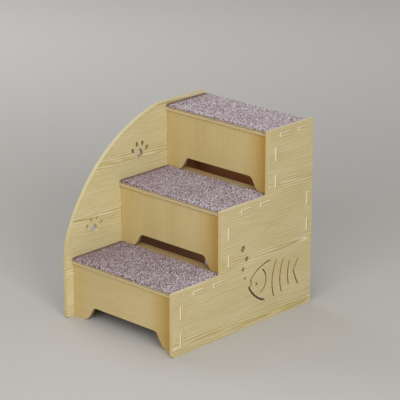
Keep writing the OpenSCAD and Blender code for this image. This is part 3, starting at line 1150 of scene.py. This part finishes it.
    def build(self) -> None:
        """Lays the carpet on its tread in place of the plain slab."""
        backing, pile = self.backing(), self.pile()
        for piece in (backing, pile):
            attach(piece, BODY)
        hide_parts(self.name)
        triangles = sum(len(face.vertices) - 2 for face in pile.data.polygons)
        LOG.info("%s has %d triangles of pile", self.name, triangles)


class Stairs:
    """The whole stairs: nine boards and three carpets."""

    PANEL_PINE = PineTones(
        pale=(0.580, 0.500, 0.288), golden=(0.415, 0.320, 0.120), cream=(0.740, 0.665, 0.480),
        front_edge=(0.530, 0.420, 0.205), top_edge=(0.580, 0.500, 0.360))
    # The left panel's print is a little paler than the right's, painted light that evens it with the right
    # panel.
    GUARD_PINE = PineTones(
        pale=(0.620, 0.545, 0.325), golden=(0.440, 0.350, 0.135), cream=(0.750, 0.680, 0.490),
        front_edge=(0.530, 0.450, 0.235), top_edge=(0.560, 0.500, 0.315))
    BOARD_PINE = PineTones(
        pale=(0.530, 0.425, 0.210), golden=(0.410, 0.290, 0.105), cream=(0.600, 0.500, 0.290),
        front_edge=(0.520, 0.410, 0.230), top_edge=(0.540, 0.440, 0.270))
    TREAD_PINE = PineTones(
        pale=(0.555, 0.390, 0.175), golden=(0.420, 0.265, 0.092), cream=(0.620, 0.480, 0.255),
        front_edge=(0.555, 0.445, 0.245), top_edge=(0.540, 0.440, 0.270))
    # Each figure's walls lie inside a box and have a painted tone of their own, standing in for the shade in
    # the cut and for what shows through it.
    FISH = ((140 * MM, 13 * MM, 38 * MM), (152 * MM, 166 * MM, 130 * MM))
    BUBBLES = ((140 * MM, -12 * MM, 100 * MM), (152 * MM, 13 * MM, 178 * MM))
    LOW_PAW = ((-152 * MM, -146 * MM, 158 * MM), (-140 * MM, -96 * MM, 197 * MM))
    HIGH_PAW = ((-152 * MM, -18 * MM, 286 * MM), (-140 * MM, 33 * MM, 325 * MM))
    RIGHT_CUTS: tuple[tuple[Box, Colour], ...] = (
        (FISH, (0.360, 0.225, 0.065)), (BUBBLES, (0.400, 0.330, 0.150)))
    LEFT_CUTS: tuple[tuple[Box, Colour], ...] = (
        (LOW_PAW, (0.600, 0.500, 0.270)), (HIGH_PAW, (0.290, 0.200, 0.085)))
    NOSE = 5 * MM
    SLACK = 1 * MM
    STEPS = ("lower", "middle", "upper")

    def under_steps(self) -> tuple[Box, ...]:
        """The three boxes that the risers and treads close off from the front and above, where the side
        panels' inner faces get painted shade.
        """
        boxes = []
        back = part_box("tread_upper")[1]
        for step in self.STEPS:
            front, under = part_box("riser_" + step)[0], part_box("tread_" + step)[0].z
            boxes.append(((front.x, front.y, -self.SLACK), (-front.x, back.y + self.SLACK, under)))
        return tuple(boxes)

    def side_panels(self) -> list[Board]:
        """The two side panels, with their grain along the stairs."""
        shared = {"tones": self.PANEL_PINE, "face": Axis.X, "along": Axis.Y, "inside": self.under_steps()}
        right = PanelFinish("pine_right_panel", cut_outs=self.RIGHT_CUTS, inner_sign=-1.0, **shared,
                            grain=Grain(across_at=14 * MM, pitch=132 * MM, lean=-0.03, seed=1.0))
        shared["tones"] = self.GUARD_PINE
        left = PanelFinish("pine_left_panel", cut_outs=self.LEFT_CUTS, inner_sign=1.0, **shared,
                           grain=Grain(across_at=188 * MM, pitch=104 * MM, lean=-0.05, seed=2.0))
        return [Board("side_panel_right", Slot.SIDE_PANELS, right),
                Board("side_panel_left", Slot.SIDE_PANELS, left)]

    def upright_board(self, node: str, along: Axis, grain: Grain, back_sign: float = 1.0,
                      arch_reach: float = 120 * MM) -> Board:
        """A riser or the back rail, whose tabs' rims run down their front.

        Args:
            node: The board's name.
            along: Which way its print runs.
            grain: The print.
            back_sign: Which way its plain face looks, 1 for +Y and -1 for -Y.
            arch_reach: How far to each side its arch reaches, whose walls get a brown of painted shade.

        Returns:
            The board.
        """
        finish = TabbedFinish("pine_" + node, self.BOARD_PINE, Axis.Y, along, grain,
                              panel_tones=self.PANEL_PINE, rim_axis=Axis.Y, rim_at=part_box(node)[0].y,
                              rim_inward=1.0, rim_width=1.1 * MM, rim_fade=6.0 * MM,
                              back_sign=back_sign, arch_reach=arch_reach)
        return Board(node, Slot.BOARDS, finish)

    def tread(self, node: str, grain: Grain) -> Board:
        """A tread, whose tabs' rims run along their top.

        Args:
            node: The board's name.
            grain: The print.

        Returns:
            The board.
        """
        finish = TabbedFinish("pine_" + node, self.TREAD_PINE, Axis.Z, Axis.X, grain,
                              panel_tones=self.PANEL_PINE, rim_axis=Axis.Z, rim_at=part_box(node)[1].z,
                              rim_inward=-1.0, back_sign=-1.0,
                              plain_behind=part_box(node)[0].y + self.NOSE)
        return Board(node, Slot.BOARDS, finish)

    def cross_boards(self) -> list[Board]:
        """The risers, treads and back rail, each with a print of its own."""
        straight = {"across_at": 0.6, "pitch": 2.4, "ring_strength": 0.34, "ring_gap": 4.6 * MM}
        boards = [self.upright_board("riser_lower", Axis.X, Grain(seed=3.0, **straight)),
                  self.upright_board("riser_middle", Axis.Z, Grain(seed=4.0, **straight)),
                  self.upright_board("riser_upper", Axis.Z, Grain(seed=5.0, **straight)),
                  self.upright_board("back_rail", Axis.X, Grain(seed=6.0, **straight), back_sign=-1.0,
                                     arch_reach=0.0)]
        for place, step in enumerate(self.STEPS):
            boards.append(self.tread("tread_" + step, Grain(across_at=0.05, pitch=0.15, seed=7.0 + place)))
        return boards

    def carpets(self) -> list[Carpet]:
        """The three carpets."""
        # Each carpet's painted light: the lower steps darker and the upper one lighter, and the lower ones
        # lighter towards the right.
        looks = zip(self.STEPS, (10, 20, 30), (-0.16, -0.08, 0.13), (0.19, 0.13, -0.02))
        return [Carpet("carpet_" + step, "tread_" + step, seed, painted_step_light, painted_light_slope)
                for step, seed, painted_step_light, painted_light_slope in looks]

    def build(self) -> None:
        """Dresses every board and lays every carpet."""
        for board in self.side_panels() + self.cross_boards():
            board.dress()
        for carpet in self.carpets():
            carpet.build()


@dataclass(frozen=True)
class Lamp:
    """One square soft lamp that shines at the stairs."""

    name: str
    at: Triple
    size: float
    power: float
    colour: Colour
    shines_at: Triple = (0.0, 0.0, 0.2)

    def hang(self) -> None:
        """Hangs the lamp."""
        data = bpy.data.lights.new(self.name, "AREA")
        data.shape = "SQUARE"
        data.size = self.size
        data.energy = self.power
        data.color = self.colour
        lamp = bpy.data.objects.new(self.name, data)
        bpy.context.scene.collection.objects.link(lamp)
        lamp.location = self.at
        Studio.aim(lamp, self.shines_at)


@dataclass
class Studio:
    """A plain pale floor, soft lamps and the camera at the photograph's angle."""

    camera_at: Triple = (2.51730, -2.62685, 1.48484)
    looks_at: Triple = (0.031759, 0.0, 0.239541)
    lens: float = 175.667
    sensor: float = 36.0
    far_clip: float = 100.0
    floor_size: float = 16.0
    floor_colour: Colour = (0.445, 0.434, 0.415)
    far_colour: Colour = (0.66, 0.65, 0.63)
    fleck_colour: Colour = (0.40, 0.39, 0.37)
    floor_fleck: Noise = Noise((60.0, 60.0, 60.0), detail=3.0, rough=0.6)
    fleck_share: Ramp = Ramp(0.3, 0.7, 0.0, 0.04)
    far_share: Ramp = Ramp(0.7, 3.5, smooth=True)
    floor_roughness: Ramp = Ramp(0.0, 1.0, 0.8, 0.9)
    floor_relief: float = 0.02 * MM
    sky_colour: Colour = (1.0, 0.98, 0.95)
    sky_strength: float = 0.20
    lamps: tuple[Lamp, ...] = (
        Lamp("key_lamp", (2.54, -1.24, 1.70), 1.2, 56.0, (1.0, 0.98, 0.95)),
        Lamp("front_lamp", (1.06, -2.60, 1.50), 2.0, 52.0, (1.0, 0.99, 0.97)),
        Lamp("top_lamp", (-0.2, 0.8, 4.6), 5.0, 66.0, (0.98, 0.99, 1.0)),
        Lamp("left_lamp", (-3.0, 0.2, 2.0), 2.4, 36.0, (1.0, 0.99, 0.97)),
    )

    @staticmethod
    def aim(obj: bpy.types.Object, at: Triple) -> None:
        """Turns a lamp or the camera towards a point."""
        obj.rotation_euler = (Vector(at) - obj.location).to_track_quat("-Z", "Y").to_euler()

    def camera(self) -> None:
        """Places the camera that matches the photograph."""
        data = bpy.data.cameras.new("camera")
        data.lens = self.lens
        data.sensor_width = self.sensor
        data.sensor_fit = "HORIZONTAL"
        data.clip_end = self.far_clip
        camera = bpy.data.objects.new("camera", data)
        bpy.context.scene.collection.objects.link(camera)
        camera.location = self.camera_at
        self.aim(camera, self.looks_at)
        bpy.context.scene.camera = camera

    def floor(self) -> None:
        """Lays the plain pale floor."""
        Bench.deselect_all()
        bpy.ops.mesh.primitive_plane_add(size=self.floor_size)
        floor = Bench.named("studio_floor")
        mix = Recipe("studio_floor")
        place = mix.node("ShaderNodeTexCoord").outputs["Object"]
        fleck = mix.noise(place, self.floor_fleck)
        at_x, at_y, _ = mix.split(place)
        behind = mix.math("SUBTRACT", at_y, at_x)
        tone = mix.blend(mix.ramp(behind, self.far_share), self.floor_colour, self.far_colour)
        tone = mix.blend(mix.ramp(fleck, self.fleck_share), tone, self.fleck_colour)
        rough = mix.ramp(fleck, self.floor_roughness)
        floor.data.materials.append(mix.finish(tone, rough, fleck, self.floor_relief))

    def sky(self) -> None:
        """Sets the even light that comes from all round."""
        world = bpy.data.worlds.new("sky")
        world.use_nodes = True
        background = world.node_tree.nodes["Background"]
        background.inputs[0].default_value = (*self.sky_colour, 1.0)
        background.inputs[1].default_value = self.sky_strength
        bpy.context.scene.world = world

    def build(self) -> None:
        """Sets up the whole studio."""
        bpy.context.scene.view_settings.view_transform = "Standard"
        self.camera()
        self.floor()
        self.sky()
        for lamp in self.lamps:
            lamp.hang()


def main() -> None:
    """Builds the studio and the stairs."""
    logging.basicConfig(level=logging.INFO, format="%(name)s: %(message)s")
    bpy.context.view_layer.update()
    Studio().build()
    Stairs().build()


if __name__ == "__main__":
    main()
